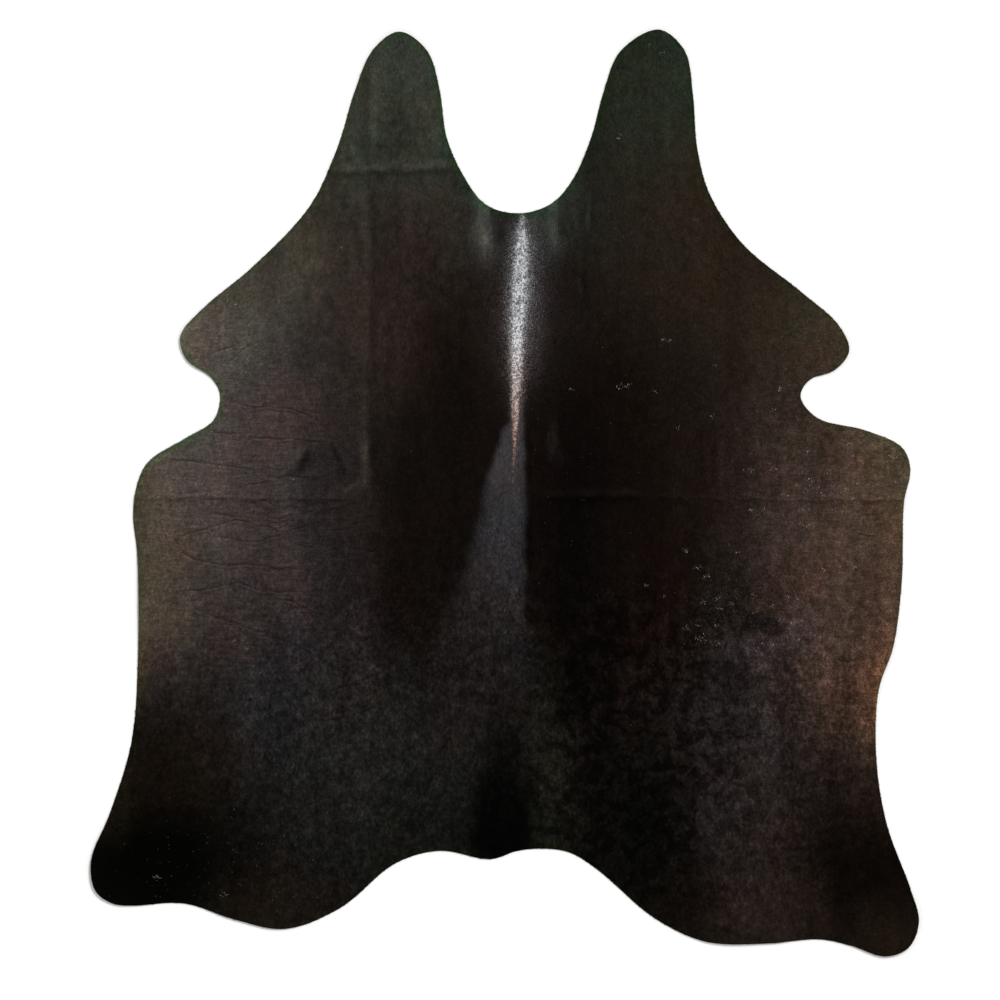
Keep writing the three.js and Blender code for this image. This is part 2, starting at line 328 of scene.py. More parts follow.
def makeCoatMaterial(name, marks, withFleshSide=False):
    material, surface, wire = newMaterial(name)
    place, moved, colour = coatColour(wire, marks)
    tone, shade, shine, white, tan, edge, flesh = (
        wire.node("Attribute", {"attribute_name": label}, out="Fac")
        for label in ("tone", "shade", "shine", "white", "tan", "edge", "flesh"))
    # the painted sheen along the back
    colour = colour.blend(paint(*marks["shine"]), shine)

    # casts of colour here and there, speckles of several sizes, and blotches on the rump
    for size, one, other in marks["casts"]:
        turning = noise(wire, place, size, 4.0).rise(*marks["castTurn"])
        colour = colour.times(wire.plain(one).blend((*other, 1.0), turning))
    colour = colour.times(wire.plain((1, 1, 1)).blend((*marks["edge"], 1.0), edge))
    zones = [zone(wire, moved, *row, marks["zoneFade"]) for row in marks["zones"]]
    blotches = marks["blotches"]
    blotch = noise(wire, moved, blotches["size"], 6.0).rise(*blotches["turn"])
    deep = zone(wire, moved, blotches["centre"], blotches["reach"], marks["zoneFade"])
    light = blotch * (zones[0] * -blotches["rump"] - deep * blotches["dark"])
    grain = None
    for size, stretch, strength, more in marks["speckles"]:
        speckle = noise(wire, place, size, 3.0, stretch)
        grain = grain or speckle
        for inZone, extra in zip(zones, more):
            if extra:
                strength = strength + inZone * extra
        light = light + (speckle - 0.5) * strength
    light = light.maths("EXPONENT", light)
    # tone is the painted light and shade beside creases and in wrinkle grooves
    colour = colour.shaded(light * (1.0 + tone) * shade)
    pale = wire.plain(paint(*marks["white"])).blend(paint(*marks["tan"]), tan)
    colour = colour.blend(pale, white * grain.rise(*marks["whiteTurn"]))
    rough = marks["rough"][0] + (grain - 0.5) * marks["rough"][1]
    height = grain
    if withFleshSide:
        suede = marks["suede"]
        cloud = noise(wire, place, suede["size"], 5.0)
        nap = noise(wire, place, suede["nap"], 2.0)
        bare = wire.plain(paint(*suede["colour"]))
        bare = bare.blend(paint(*suede["fleck"]), cloud.rise(*suede["turn"]))
        dull, more = suede["napShade"]
        colour = colour.blend(bare.shaded(dull + nap * more), flesh)
        rough = rough + flesh * suede["rougher"]
        height = grain + flesh * (nap - grain)
    bump = wire.node("Bump", None, {**marks["bump"], "Height": height})
    wire.feed(surface, {"Base Color": colour, "Roughness": rough, "Normal": bump,
                        "Specular IOR Level": marks["gloss"], "Sheen Weight": marks["bloom"],
                        "Sheen Roughness": marks["bloomSpread"], "Sheen Tint": marks["bloomTint"]})
    return material


coatMaterial = makeCoatMaterial("coat", coatMarkings)
skinMaterial = makeCoatMaterial("skin and short hair", coatMarkings, withFleshSide=True)
print("coat materials made")


# the hide's shape, read from the frame

reading = {
    "pitch": 0.006,  # of the height map
    "margin": 0.05,  # of the height map round the hide
    "smoothing": 2,  # in steps of the height map
    "edgeStep": 0.006,  # of the cut edge
    "straight": math.radians(0.15),  # less of a turn than this is a straight stretch
    "carried": 8,  # steps of the height map that the height is carried past the edge
    "creasePitch": 0.0012,  # of the maps of creases and wrinkles
    "skinThickness": 0.0021,
    "thinnest": 0.0008,
    "deepest": 0.0012,  # no crease or wrinkle goes deeper into the skin
}


# arrays of a mesh's points and of its triangles
def arraysOf(mesh):
    mesh.calc_loop_triangles()
    points = np.zeros(len(mesh.vertices) * 3, np.float32)
    triangles = np.zeros(len(mesh.loop_triangles) * 3, np.int32)
    mesh.vertices.foreach_get("co", points)
    mesh.loop_triangles.foreach_get("vertices", triangles)
    return points.reshape(-1, 3).astype(float), triangles.reshape(-1, 3)


# the outline of the faces that look up, as an ordered loop, anticlockwise
def cutEdge(points, triangles, straight):
    flat = np.round(points[:, :2], 5)
    flat, same = np.unique(flat, axis=0, return_inverse=True)
    corners = points[triangles]
    normals = np.cross(corners[:, 1] - corners[:, 0], corners[:, 2] - corners[:, 0])
    normals /= np.maximum(np.linalg.norm(normals, axis=1), 1e-12)[:, None]
    upper = same.reshape(-1)[triangles[normals[:, 2] > 0.5]]
    sides = {}
    for a, b, c in upper:
        for start, end in ((a, b), (b, c), (c, a)):
            sides[(start, end)] = sides.get((start, end), 0) + 1
    following = {start: end for start, end in sides if (end, start) not in sides}
    first = start = next(iter(following))
    loop = []
    while True:
        loop.append(start)
        start = following[start]
        if start == first:
            break
    line = flat[loop]
    before, after = line - np.roll(line, 1, 0), np.roll(line, -1, 0) - line
    across = before[:, 0] * after[:, 1] - before[:, 1] * after[:, 0]
    turning = np.arctan2(across, (before * after).sum(1))
    return line[np.abs(turning) > straight]


# a smooth closed line through the points, with points about one step apart
def smoothLoop(line, step):
    made = []
    count = len(line)
    for i in range(count):
        p0, p1, p2, p3 = (line[(i + k) % count] for k in (-1, 0, 1, 2))
        t01, t12, t23 = (math.sqrt(np.linalg.norm(b - a)) for a, b in ((p0, p1), (p1, p2), (p2, p3)))
        m1 = t12 * ((p1 - p0) / t01 - (p2 - p0) / (t01 + t12) + (p2 - p1) / t12)
        m2 = t12 * ((p2 - p1) / t12 - (p3 - p1) / (t12 + t23) + (p3 - p2) / t23)
        steps = max(1, round(np.linalg.norm(p2 - p1) / step))
        for t in np.arange(steps) / steps:
            made.append((2 * t**3 - 3 * t**2 + 1) * p1 + (t**3 - 2 * t**2 + t) * m1
                        + (3 * t**2 - 2 * t**3) * p2 + (t**3 - t**2) * m2)
    return np.array(made)


class Chart:
    # a map of one number over the floor, read between its points
    def __init__(self, low, pitch, values):
        self.low, self.pitch, self.values = low, pitch, values

    def at(self, points):
        place = (points[:, :2] - self.low) / self.pitch
        rows, columns = self.values.shape
        place = np.clip(place, 0, [columns - 1.001, rows - 1.001])
        whole = place.astype(int)
        (u, v), (i, j) = (place - whole).T, whole.T
        field = self.values
        return ((field[j, i] * (1 - u) + field[j, i + 1] * u) * (1 - v)
                + (field[j + 1, i] * (1 - u) + field[j + 1, i + 1] * u) * v)


def blurred(values, steps):
    kernel = np.hanning(2 * steps + 3)[1:-1]
    kernel /= kernel.sum()
    for axis in (0, 1):
        values = np.apply_along_axis(lambda row: np.convolve(row, kernel, "same"), axis, values)
    return values


# how far inside the cut edge each point of the floor is, and how high the hide's underside is
def chartHide(node, edge, setup):
    points, triangles = arraysOf(node.data)
    pitch = setup["pitch"]
    low, high = edge.min(0) - setup["margin"], edge.max(0) + setup["margin"]
    columns, rows = np.ceil((high - low) / pitch).astype(int) + 1
    xs, ys = low[0] + np.arange(columns) * pitch, low[1] + np.arange(rows) * pitch
    ends = np.roll(edge, -1, 0)
    inside = np.zeros((rows, columns), bool)
    for j, y in enumerate(ys):
        crossing = (edge[:, 1] > y) != (ends[:, 1] > y)
        a, b = edge[crossing], ends[crossing]
        cuts = np.sort(a[:, 0] + (y - a[:, 1]) / (b[:, 1] - a[:, 1]) * (b[:, 0] - a[:, 0]))
        inside[j] = np.searchsorted(cuts, xs) % 2 == 1
    rim = KDTree(len(edge))
    for i, (x, y) in enumerate(edge):
        rim.insert((x, y, 0.0), i)
    rim.balance()
    solid = BVHTree.FromPolygons(points.tolist(), triangles.tolist())
    depth, height = np.zeros((rows, columns)), np.zeros((rows, columns))
    for j, y in enumerate(ys):
        for i, x in enumerate(xs):
            away = rim.find((x, y, 0.0))[2]
            depth[j, i] = away if inside[j, i] else -away
            if inside[j, i]:
                hit = solid.ray_cast(Vector((x, y, -1.0)), Vector((0, 0, 1)))[0]
                height[j, i] = hit.z if hit else 0.0
    enough = 0.01
    share = np.maximum(blurred(inside.astype(float), setup["smoothing"]), 1e-6)
    height = np.where(share > enough, blurred(height * inside, setup["smoothing"]) / share, 0.0)
    # carry the height a little way past the edge, where the blur has nothing to go on
    for _ in range(setup["carried"]):
        known = share > enough
        spread = blurred(height * known, 1) / np.maximum(blurred(known.astype(float), 1), 1e-6)
        height = np.where(known, height, spread)
        share = np.where(known, share, blurred(known.astype(float), 1))
    return Chart(low, pitch, depth), Chart(low, pitch, height)


cadPoints, cadTriangles = arraysOf(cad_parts["hide"].data)
hideEdge = smoothLoop(cutEdge(cadPoints, cadTriangles, reading["straight"]), reading["edgeStep"])
insideBy, floorLift = chartHide(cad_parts["hide"], hideEdge, reading)
print("hide read:", len(hideEdge), "points along the cut edge")


# creases and wrinkles

# creases from the time the hide lay folded. Each runs from left to right or from below upward:
# a string of places, half width, height, and how much painted light or shade the hair gets above or
# left of the line, and below or right of it
foldCreases = {
    "fade": 0.05,
    "sway": 0.0025,  # how far a crease wanders from its line
    "lines": [
        ("left neck fold", [(-0.42, 0.762), (-0.09, 0.768)], 0.009, 0.0006, 0.58, -0.40),
        ("left flap fold", [(-0.320, 0.775), (-0.321, 1.03)], 0.012, 0.0004, -0.21, 0.25),
        ("long left fold",
         [(-0.317, 0.010), (-0.318, 0.10), (-0.325, 0.24), (-0.320, 0.45), (-0.321, 0.745)],
         0.012, 0.0002, 0.28, -0.22),
        ("neck swell", [(-0.030, 0.540), (-0.030, 0.80)], 0.024, 0.0006, 1.60, -0.60),
        ("neck pleat", [(0.128, 0.560), (0.130, 0.80)], 0.014, 0.0005, 1.20, -0.10),
        ("right neck hollow",
         [(0.145, 0.495), (0.160, 0.565), (0.160, 0.600), (0.150, 0.640), (0.140, 0.700)],
         0.009, -0.0003, -0.34, -0.30),
        ("right neck ripple, low", [(0.182, 0.440), (0.186, 0.60)], 0.006, 0.0005, 0.60, -0.30),
        ("right neck ripple", [(0.202, 0.600), (0.208, 0.74)], 0.006, 0.0006, 0.80, -0.30),
        ("right flap fold", [(0.377, 0.740), (0.377, 0.94)], 0.012, 0.0004, -0.14, 0.16),
        ("back fold", [(0.044, -0.36), (0.050, -0.14), (0.048, 0.10)], 0.008, -0.0003, 0.0, -0.45),
        ("mark beside the back", [(0.110, 0.070), (0.114, 0.175)], 0.007, 0.0003, 1.0, 0.6),
        ("mark by the cross fold", [(0.136, -0.085), (0.128, -0.030)], 0.005, 0.0003, 0.7, -0.5),
        ("short flank fold", [(0.505, -0.010), (0.505, 0.155)], 0.009, 0.0004, -0.24, 0.32),
        ("cross fold, left", [(-0.900, -0.014), (-0.740, -0.010), (-0.600, -0.014), (-0.360, -0.010)],
         0.0045, 0.0006, 0.22, -0.55),
        ("cross fold, middle", [(0.075, -0.006), (0.345, -0.006)], 0.009, 0.0005, 0.9, -0.6),
        ("cross fold, right", [(0.320, -0.012), (0.600, -0.014), (0.900, -0.016)],
         0.0038, 0.0006, 0.34, -0.36),
        ("cross fold, rim", [(0.840, -0.015), (1.00, -0.019)], 0.0045, 0.0006, 0.20, -0.60),
        ("right edge nick", [(0.770, -0.650), (0.90, -0.640)], 0.010, 0.0006, 0.26, -0.30),
        ("hind crease", [(0.560, -0.850), (0.674, -0.832), (0.790, -0.828)],
         0.009, 0.0005, 0.20, -0.42),
        ("thigh crease", [(-0.800, -0.528), (-0.640, -0.534)], 0.009, 0.0004, 0.10, -0.20),
        ("hind edge ridge", [(0.480, -1.012), (0.630, -1.066)], 0.008, 0.0008, 0.30, -0.40),
    ],
}

# small dimples by the long fold, and the fold's foot, in the same columns
dimples = {
    "fade": 0.02,
    "sway": 0.0,
    "lines": [
        ("left dimple", [(-0.500, 0.044), (-0.470, 0.112)], 0.011, 0.0006, 0.55, -0.48),
        ("right dimple", [(-0.366, 0.040), (-0.408, 0.126)], 0.008, 0.0005, -0.55, 0.30),
        ("foot of the long fold", [(-0.321, 0.010), (-0.320, 0.150)], 0.013, 0.0002, 1.25, -0.05),
        ("hook of the long fold", [(-0.385, -0.012), (-0.366, 0.004), (-0.334, 0.026)],
         0.009, 0.0004, 1.20, 0.20),
    ],
}

# fine wrinkles of the loose belly skin, with painted shade in their grooves and painted light
# beside them; each line is a string of places
bellyWrinkles = {
    "halfWidth": 0.0020,
    "depth": 0.0008,
    # dark is the painted shade in a wrinkle's groove; rim, in the next row, is the painted light
    # beside it
    "dark": 0.55,
    "rim": 0.20,  # how much lighter the hair shows beside a wrinkle
    "sway": 0.0020,
    "fade": 0.025,
    "apart": 0.009,  # a fainter wrinkle lies so far below each long one
    "fainter": 0.5,
    "lines": [
        [(-0.665, 0.218), (-0.601, 0.206), (-0.528, 0.204), (-0.469, 0.189), (-0.433, 0.178)],
        [(-0.703, 0.142), (-0.628, 0.140), (-0.566, 0.130), (-0.488, 0.128), (-0.414, 0.121)],
        [(-0.803, 0.085), (-0.734, 0.073), (-0.628, 0.059), (-0.509, 0.057)],
        [(-0.580, 0.035), (-0.528, 0.040), (-0.466, 0.038), (-0.426, 0.033)],
        [(-0.647, 0.002), (-0.599, 0.024), (-0.533, 0.026)],
        [(-0.590, -0.010), (-0.560, -0.024), (-0.536, -0.034)],
        [(-0.708, -0.045), (-0.656, -0.055), (-0.601, -0.064)],
        [(-0.810, -0.126), (-0.763, -0.100), (-0.692, -0.081), (-0.637, -0.064), (-0.601, -0.071),
         (-0.549, -0.085), (-0.516, -0.093)],
        [(-0.682, -0.104), (-0.628, -0.114), (-0.575, -0.112), (-0.528, -0.095), (-0.469, -0.074),
         (-0.426, -0.066)],
        [(-0.774, -0.135), (-0.739, -0.159), (-0.663, -0.173), (-0.590, -0.168), (-0.556, -0.178),
         (-0.469, -0.180)],
        [(-0.585, -0.133), (-0.533, -0.142)],
        [(-0.801, -0.232), (-0.722, -0.232), (-0.628, -0.213), (-0.575, -0.230), (-0.504, -0.235),
         (-0.443, -0.230)],
        [(-0.594, -0.240), (-0.535, -0.249), (-0.485, -0.266), (-0.433, -0.287)],
        [(-0.739, -0.273), (-0.682, -0.296), (-0.628, -0.315), (-0.561, -0.332), (-0.478, -0.367),
         (-0.414, -0.403), (-0.360, -0.434)],
        [(-0.855, -0.337), (-0.824, -0.344)],
        [(-0.744, -0.344), (-0.703, -0.346)],
        [(-0.549, -0.330), (-0.523, -0.337)],
        [(-0.443, -0.543), (-0.336, -0.517), (-0.282, -0.505)],
        [(-0.421, -0.469), (-0.355, -0.448), (-0.293, -0.429)],
        [(-0.673, -0.728), (-0.601, -0.740)],
        [(-0.628, -0.498), (-0.549, -0.472)],
        [(-0.571, -0.536), (-0.528, -0.529)],
        [(-0.630, 0.351), (-0.706, 0.327)],
        [(-0.661, 0.298), (-0.599, 0.362)],
        [(0.816, -0.093), (0.854, -0.100), (0.896, -0.100)],
        [(0.683, -0.142), (0.733, -0.142)],
        [(0.719, -0.389), (0.780, -0.396), (0.866, -0.398)],
        [(0.821, -0.481), (0.887, -0.469)],
        [(0.586, -0.503), (0.657, -0.524)],
        [(0.745, -0.808), (0.790, -0.756)],
        [(0.401, -0.526), (0.467, -0.557), (0.550, -0.578), (0.629, -0.569)],
    ],
}

# rows of very fine wrinkles that run side by side: centre, how far they spread, how many,
# length, slope and strength
wrinkleFields = {
    "halfWidth": 0.0020,
    "half": (0.3, 0.6),  # a wrinkle's half length, as a share of the length below
    "lean": 0.15,  # how far its slope is off the slope below
    "bend": 0.008,  # how far its middle is off a straight line
    "faintest": 0.5,
    "seed": 11,
    "fields": [
        ("left ribs", (-0.43, -0.12), (0.06, 0.07), 16, 0.07, 0.02, 0.8),
        ("left ribs, fan", (-0.47, -0.05), (0.08, 0.04), 14, 0.09, 0.22, 0.8),
        ("left of the back, stripes", (-0.36, -0.12), (0.05, 0.08), 24, 0.04, 0.0, 1.0),
        ("left ribs, low", (-0.42, -0.30), (0.08, 0.10), 16, 0.06, -0.35, 0.8),
        ("left belly", (-0.68, 0.00), (0.16, 0.16), 14, 0.07, -0.05, 0.3),
        ("left belly low", (-0.62, -0.30), (0.16, 0.12), 12, 0.08, -0.30, 0.4),
        ("left loin", (-0.30, -0.42), (0.12, 0.10), 26, 0.05, 0.30, 1.0),
        ("left shoulder", (-0.64, 0.32), (0.10, 0.06), 8, 0.06, 0.45, 0.4),
        ("right belly", (0.82, -0.16), (0.10, 0.20), 12, 0.05, -0.05, 0.4),
        ("right loin", (0.50, -0.46), (0.10, 0.10), 12, 0.06, 0.40, 0.5),
        ("right thigh", (0.66, -0.56), (0.14, 0.08), 14, 0.05, -0.15, 0.5),
    ],
}

# slow unevenness of skin that has dried on a frame: wave length, direction in degrees, height
unevenness = [(0.31, 20, 0.0005), (0.19, 75, 0.00035), (0.13, 130, 0.00025), (0.083, 50, 0.00014)]


# from the points to a string of places: how far, how far along it, and on which side
def alongLine(points, line):
    nearest = np.full(len(points), np.inf)
    along, side = np.zeros(len(points)), np.zeros(len(points))
    gone = 0.0
    for start, end in zip(line[:-1], line[1:]):
        start, end = np.array(start), np.array(end)
        length = np.linalg.norm(end - start)
        way = (end - start) / length
        offset = points - start
        share = np.clip(offset @ way, 0, length)
        away = np.linalg.norm(offset - share[:, None] * way, axis=1)
        closer = away < nearest
        nearest[closer], along[closer] = away[closer], gone + share[closer]
        side[closer] = np.sign(offset @ np.array([-way[1], way[0]]))[closer]
        gone += length
    return nearest, along, gone, side


def smooth(value):
    value = np.clip(value, 0, 1)
    return value * value * (3 - 2 * value)


# every wrinkle as a string of places with its strength, the ones of the fields made by a loop
def allWrinkles():
    setup = bellyWrinkles
    for line in setup["lines"]:
        yield line, setup["halfWidth"], 1.0
        if len(line) > 3:
            below = [(x, y - setup["apart"]) for x, y in line[1:-1]]
            yield below, setup["halfWidth"], setup["fainter"]
    setup = wrinkleFields
    dice = np.random.default_rng(setup["seed"])
    for name, centre, spread, count, length, slope, strength in setup["fields"]:
        for _ in range(count):
            x, y = np.array(centre) + np.array(spread) * dice.uniform(-1, 1, 2)
            half = length * dice.uniform(*setup["half"])
            lean = slope + dice.uniform(-setup["lean"], setup["lean"])
            bend = dice.uniform(-setup["bend"], setup["bend"])
            line = [(x - half, y - lean * half), (x, y + bend), (x + half, y + lean * half)]
            yield line, setup["halfWidth"], strength * dice.uniform(setup["faintest"], 1.0)


wrinkles = list(allWrinkles())


# maps of the skin's own height, of the painted light and shade on its hair beside creases and in
# wrinkles, and of the grooves of its wrinkles
def chartCreases(pitch, deepest):
    margin = 0.02
    low, high = hideEdge.min(0) - margin, hideEdge.max(0) + margin
    columns, rows = np.ceil((high - low) / pitch).astype(int) + 1
    height, tone, groove, rim = (np.zeros((rows, columns)) for _ in range(4))

    # the part of the map round a line: how far off in half widths, which side, how faded
    def around(line, halfWidth, fade, sway):
        line = np.array(line)
        reach = 3 * halfWidth + sway
        i, j = np.maximum(np.floor((line.min(0) - reach - low) / pitch).astype(int), 0)
        iEnd, jEnd = np.ceil((line.max(0) + reach - low) / pitch).astype(int)
        window = (slice(j, min(jEnd, rows)), slice(i, min(iEnd, columns)))
        ys, xs = np.mgrid[window]
        points = low + np.stack([xs.ravel(), ys.ravel()], 1) * pitch
        points += sway * np.sin(points[:, ::-1] * 57 + np.sin(points[:, ::-1] * 23) * 3.0)
        away, along, length, side = alongLine(points, line)
        ends = smooth(along / fade) * smooth((length - along) / fade)
        ends *= 0.80 + 0.20 * np.sin(along * 61 + line[0, 0] * 90)  # uneven along its length
        return window, *(field.reshape(xs.shape) for field in (away / halfWidth, side, ends))

    for setup in (foldCreases, dimples):
        for name, line, halfWidth, rise, leftShading, rightShading in setup["lines"]:
            window, away, side, ends = around(line, halfWidth, setup["fade"], setup["sway"])
            height[window] += ends * rise * np.exp(-(away ** 2))
            beside = ends * np.exp(-1.6 * (away - 0.9) ** 2)  # strongest at about one half width
            # painted light or shade on the hair on each side of the crease
            tone[window] += beside * np.where(side > 0, leftShading, rightShading)
    setup = bellyWrinkles
    for line, halfWidth, strength in wrinkles:
        window, away, side, ends = around(line, halfWidth, setup["fade"], setup["sway"])
        groove[window] = np.maximum(groove[window], ends * strength * np.exp(-(away ** 2)))
        rim[window] = np.maximum(rim[window], ends * strength * np.exp(-1.2 * (away - 1.9) ** 2))
    rim *= 1 - groove
    height += setup["depth"] * (0.3 * rim - groove)
    # painted shade in the wrinkles' grooves and painted light on their rims
    tone += setup["rim"] * rim - setup["dark"] * groove
    return [Chart(low, pitch, field) for field in (np.maximum(height, -deepest), tone, groove)]


creaseHeight, paintedCreaseShading, creaseGroove = chartCreases(reading["creasePitch"], reading["deepest"])
print("creases and wrinkles laid out:", len(wrinkles), "wrinkles")


# the skin's upper face at each point; over the last two centimetres to the cut edge the skin gets
# evener, and a fifth thinner
def skinAt(points):
    height = creaseHeight.at(points)
    for length, heading, rise in unevenness:
        way = np.array([math.cos(math.radians(heading)), math.sin(math.radians(heading))])
        across = points[:, :2] @ way[::-1] * 4.1
        phase = points[:, :2] @ way * 2 * math.pi / length
        height += rise * np.sin(phase + 1.6 * np.sin(across + length * 40))
    rim = smooth(insideBy.at(points) / 0.02)
    thickness = reading["skinThickness"] * (0.8 + 0.2 * rim)
    return np.maximum(floorLift.at(points) + thickness + height * rim, reading["thinnest"])


# the white streak down the neck and the painted sheen along the back, as stations along Y

streakSetup = {
    # along the back, middle, half width of the core, how white the core is, the mist beside it
    "stations": [
        (0.664, 0.043, 0.002, 0.15, 0.02), (0.652, 0.043, 0.005, 0.30, 0.07),
        (0.628, 0.039, 0.009, 0.36, 0.12), (0.600, 0.0396, 0.0115, 0.68, 0.16),
        (0.564, 0.0396, 0.0133, 1.0, 0.17), (0.528, 0.0375, 0.0136, 1.0, 0.17),
        (0.481, 0.0355, 0.0150, 1.0, 0.18), (0.434, 0.032, 0.0130, 1.0, 0.20),
        (0.386, 0.0292, 0.0124, 1.0, 0.18), (0.339, 0.0290, 0.0108, 1.0, 0.15),
        (0.291, 0.0284, 0.0100, 1.0, 0.11), (0.244, 0.0265, 0.0078, 1.0, 0.05),
        (0.197, 0.0245, 0.0070, 0.78, 0.03), (0.149, 0.024, 0.0045, 0.68, 0.015),
        (0.102, 0.023, 0.003, 0.36, 0.0), (0.054, 0.020, 0.0015, 0.15, 0.0),
        (-0.017, 0.020, 0.001, 0.0, 0.0),
    ],
    "mistReach": (0.023, 0.032),  # to the left and to the right
    "tan": (0.31, 0.12),  # white above the first place along the back, tan below the second
    "warm": (0.44, 0.28),  # the white itself is a little warmer below
    "hairs": 26000,
    "tries": 40,  # places tried for each hair
    "widest": 0.075,  # no hair is farther from the middle
    "stray": math.radians(12),  # how far a hair lies off the flow
    "sparse": 0.02,  # no hair grows where the share of white is under this
    "clump": 0.0027,  # the hairs in a patch of this size are as bright as each other
    "fall": 0.6,  # how fast they get duller away from the core
    "shade": (0.12, 1.4),  # of the dullest clump, and how much is added for the brightest
    "uneven": 0.2,  # how unlike each other the hairs of a clump are
    "warmer": 0.4,  # how much brighter the hair is where it is warm
    "brightest": 1.45,
    "tanShare": (0.6, 1.0),  # how tan a tan hair is
    "warmShare": (0.2, 0.4),  # how warm a white one is in the core, and how much more beside it
    "looks": {"length": (0.0018, 0.0032), "width": (0.0010, 0.0017), "thickness": 0.0004,
              "rise": (0.0008, 0.0024), "overhang": 0.0},
    "seed": 7,
}

sheenSetup = {
    # along the back, left edge, right edge, how soft each edge is, how strong the painted sheen is
    "stations": [
        (0.300, 0.038, 0.052, 0.010, 0.008, 0.0), (0.250, 0.036, 0.051, 0.008, 0.006, 0.45),
        (0.195, 0.034, 0.047, 0.008, 0.006, 0.75), (0.165, 0.010, 0.043, 0.014, 0.010, 0.80),
        (0.149, -0.008, 0.041, 0.016, 0.010, 0.85), (0.078, -0.023, 0.046, 0.022, 0.024, 1.00),
        (0.007, -0.044, 0.049, 0.036, 0.030, 0.66), (-0.064, -0.057, 0.045, 0.046, 0.024, 0.58),
        (-0.135, -0.070, 0.044, 0.055, 0.030, 0.50), (-0.206, -0.098, 0.045, 0.070, 0.034, 0.37),
        (-0.277, -0.120, 0.049, 0.080, 0.040, 0.29), (-0.349, -0.150, 0.056, 0.090, 0.060, 0.19),
        (-0.420, -0.180, 0.066, 0.100, 0.060, 0.11), (-0.491, -0.190, 0.070, 0.110, 0.070, 0.06),
        (-0.600, -0.190, 0.100, 0.110, 0.070, 0.0),
    ],
}


# the values of a table of stations at each point
def fromStations(points, stations):
    table = np.array(stations)[::-1].T
    return [np.interp(points[:, 1], table[0], column) for column in table[1:]]


def streakAt(points):
    middle, core, peak, mist = fromStations(points, streakSetup["stations"])
    away = np.abs(points[:, 0] - middle)
    reach = np.where(points[:, 0] < middle, *streakSetup["mistReach"])
    share = peak / (1 + (away / core) ** 4) + mist * np.exp(-away / reach)
    return np.clip(share, 0, 1)


# where the streak's white turns tan, and where it turns warm
def tanAt(points, turning="tan"):
    start, end = streakSetup[turning]
    return smooth((start - points[:, 1]) / (start - end))


def shineAt(points):
    left, right, softLeft, softRight, strength = fromStations(points, sheenSetup["stations"])
    x, y = points[:, 0], points[:, 1]
    x = x + 0.0025 * np.sin(y * 37) + 0.0015 * np.sin(y * 91 + x * 60)
    return strength * smooth((x - left) / softLeft + 0.5) * smooth((right - x) / softRight + 0.5)


# making meshes from arrays

def makePiece(name, points, triangles, material, values=None, flat=True):
    mesh = bpy.data.meshes.new(name)
    mesh.vertices.add(len(points))
    mesh.vertices.foreach_set("co", np.asarray(points, np.float32).ravel())
    mesh.loops.add(len(triangles) * 3)
    mesh.loops.foreach_set("vertex_index", np.asarray(triangles, np.int32).ravel())
    mesh.polygons.add(len(triangles))
    mesh.polygons.foreach_set("loop_start", np.arange(0, len(triangles) * 3, 3, dtype=np.int32))
    mesh.polygons.foreach_set("use_smooth", np.full(len(triangles), not flat))
    mesh.update(calc_edges=True)
    mesh.validate()
    for label, numbers in (values or {}).items():
        attribute = mesh.attributes.new(label, "FLOAT", "POINT")
        attribute.data.foreach_set("value", np.asarray(numbers, np.float32))
    mesh.materials.append(material)
    piece = bpy.data.objects.new(name, mesh)
    bpy.context.scene.collection.objects.link(piece)
    return piece


# a map for the coat: seen from above, to one scale for all the pieces; the faces that are
# under lie beside the others
def mapFromAbove(piece, under=None):
    margin = 0.02
    layer = piece.data.uv_layers.new(name="OFBake")
    points, _ = arraysOf(piece.data)
    corners = np.zeros(len(piece.data.loops), np.int32)
    piece.data.loops.foreach_get("vertex_index", corners)
    low, high = np.array(cadBox[0]) - margin, np.array(cadBox[1]) + margin
    flat = ((points[:, :2] - low[:2]) / (high - low)[:2].max())[corners]
    if under is not None:
        flat[:, 0] = flat[:, 0] * 0.49 + 0.5 * np.repeat(under, 3)
    layer.data.foreach_set("uv", flat.astype(np.float32).ravel())


# the skin

skinSetup = {
    "pitch": 0.0080,
    "wrinklePitch": 0.005,
    "foldPitch": 0.007,
    "underPitch": 0.018,
    # how far apart the rows beside a wrinkle and a fold are, in half widths
    "wrinkleRows": 0.8,
    "foldRows": 0.6,
    "rowsInset": 0.01,
    # how near the other points come, in their pitches: to those rows, to the cut edge, and to the
    # cut edge on the under side
    "rowGap": 0.5,
    "edgeGap": 0.7,
    "underGap": 0.6,
    # how far out, share of the height, how much of the bare flesh side shows
    "edgeRings": [(0.0, 0.30, 0.9), (0.0006, 0.62, 0.5), (0.0004, 0.88, 0.0)],
    "edgeInset": 0.0012,
    "white": 0.8,  # how white the short hair is under the streak
    "shade": 0.8,  # the short hair is darker than the locks over it
}


# points in rows, each row shifted half a step, kept inside the cut edge
def lattice(pitch, inset):
    low, high = hideEdge.min(0), hideEdge.max(0)
    rows = np.arange(low[1], high[1], pitch * math.sqrt(3) / 2)
    made = []
    for number, y in enumerate(rows):
        xs = np.arange(low[0] + (number % 2) * pitch / 2, high[0], pitch)
        made.append(np.stack([xs, np.full(len(xs), y)], 1))
    made = np.concatenate(made)
    return made[insideBy.at(made) > inset]


